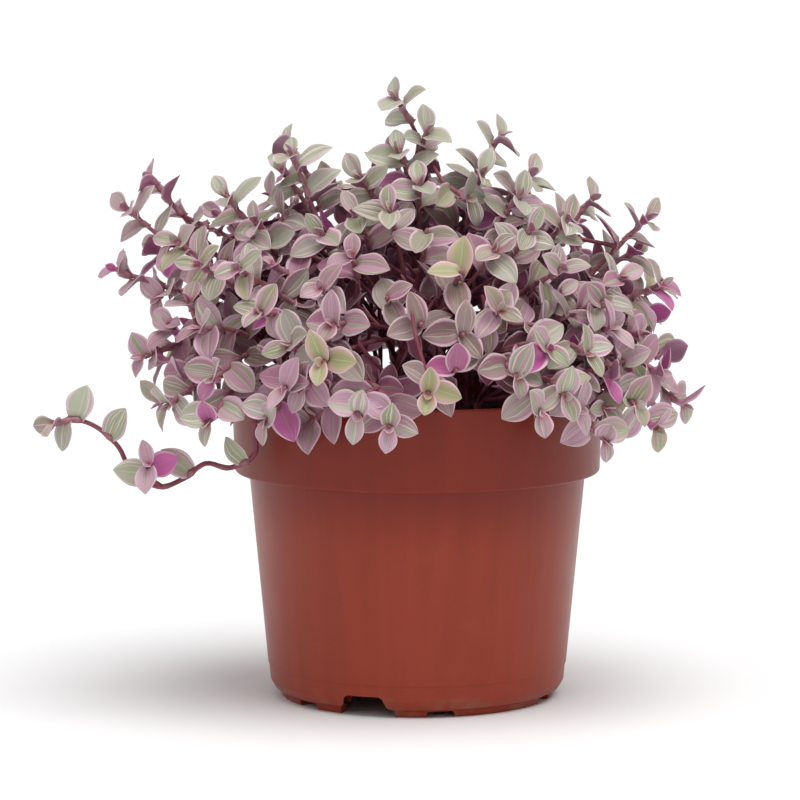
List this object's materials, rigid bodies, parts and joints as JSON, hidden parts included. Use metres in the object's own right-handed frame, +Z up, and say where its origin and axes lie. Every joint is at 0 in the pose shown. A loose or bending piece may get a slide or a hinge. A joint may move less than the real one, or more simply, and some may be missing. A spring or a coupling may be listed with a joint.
{
  "type": "potted trailing house plant",
  "caption": "Bushy trailing house plant with small pointed leaves striped in pink and green on thin purple stems, planted in a round brown plastic pot with a collar.",
  "frame": {"origin": "on the pot's axis, at the height that the pot stands on", "axes": "+Z up; -Y is the front that the long runner leaves to the left of; +X is to the right seen from the front"},
  "size_m": [0.213, 0.1693, 0.1997],
  "materials": {
    "pot_plastic": "satin",
    "soil": "matte",
    "shoot": "satin"
  },
  "bodies": {
    "root": {"long_runner": "shoot", "nursery_pot": "pot_plastic", "potting_soil": "soil", "shoot_01": "shoot", "shoot_02": "shoot", "shoot_03": "shoot", "shoot_04": "shoot", "shoot_05": "shoot", "shoot_06": "shoot", "shoot_07": "shoot", "shoot_08": "shoot", "shoot_09": "shoot", "shoot_10": "shoot", "shoot_11": "shoot", "shoot_12": "shoot", "shoot_13": "shoot", "shoot_14": "shoot", "shoot_15": "shoot", "shoot_16": "shoot", "shoot_17": "shoot", "shoot_18": "shoot", "shoot_19": "shoot", "shoot_20": "shoot", "shoot_21": "shoot", "shoot_22": "shoot", "shoot_23": "shoot", "shoot_24": "shoot", "shoot_25": "shoot", "shoot_26": "shoot", "shoot_27": "shoot", "shoot_28": "shoot", "shoot_29": "shoot", "shoot_30": "shoot", "shoot_31": "shoot", "shoot_32": "shoot", "shoot_33": "shoot", "shoot_34": "shoot", "shoot_35": "shoot", "shoot_36": "shoot", "shoot_37": "shoot", "shoot_38": "shoot", "shoot_39": "shoot", "shoot_40": "shoot", "shoot_41": "shoot", "shoot_42": "shoot", "shoot_43": "shoot", "shoot_44": "shoot", "shoot_45": "shoot", "shoot_46": "shoot", "shoot_47": "shoot", "shoot_48": "shoot", "shoot_49": "shoot", "shoot_50": "shoot", "shoot_51": "shoot", "shoot_52": "shoot"}
  },
  "joints": []
}
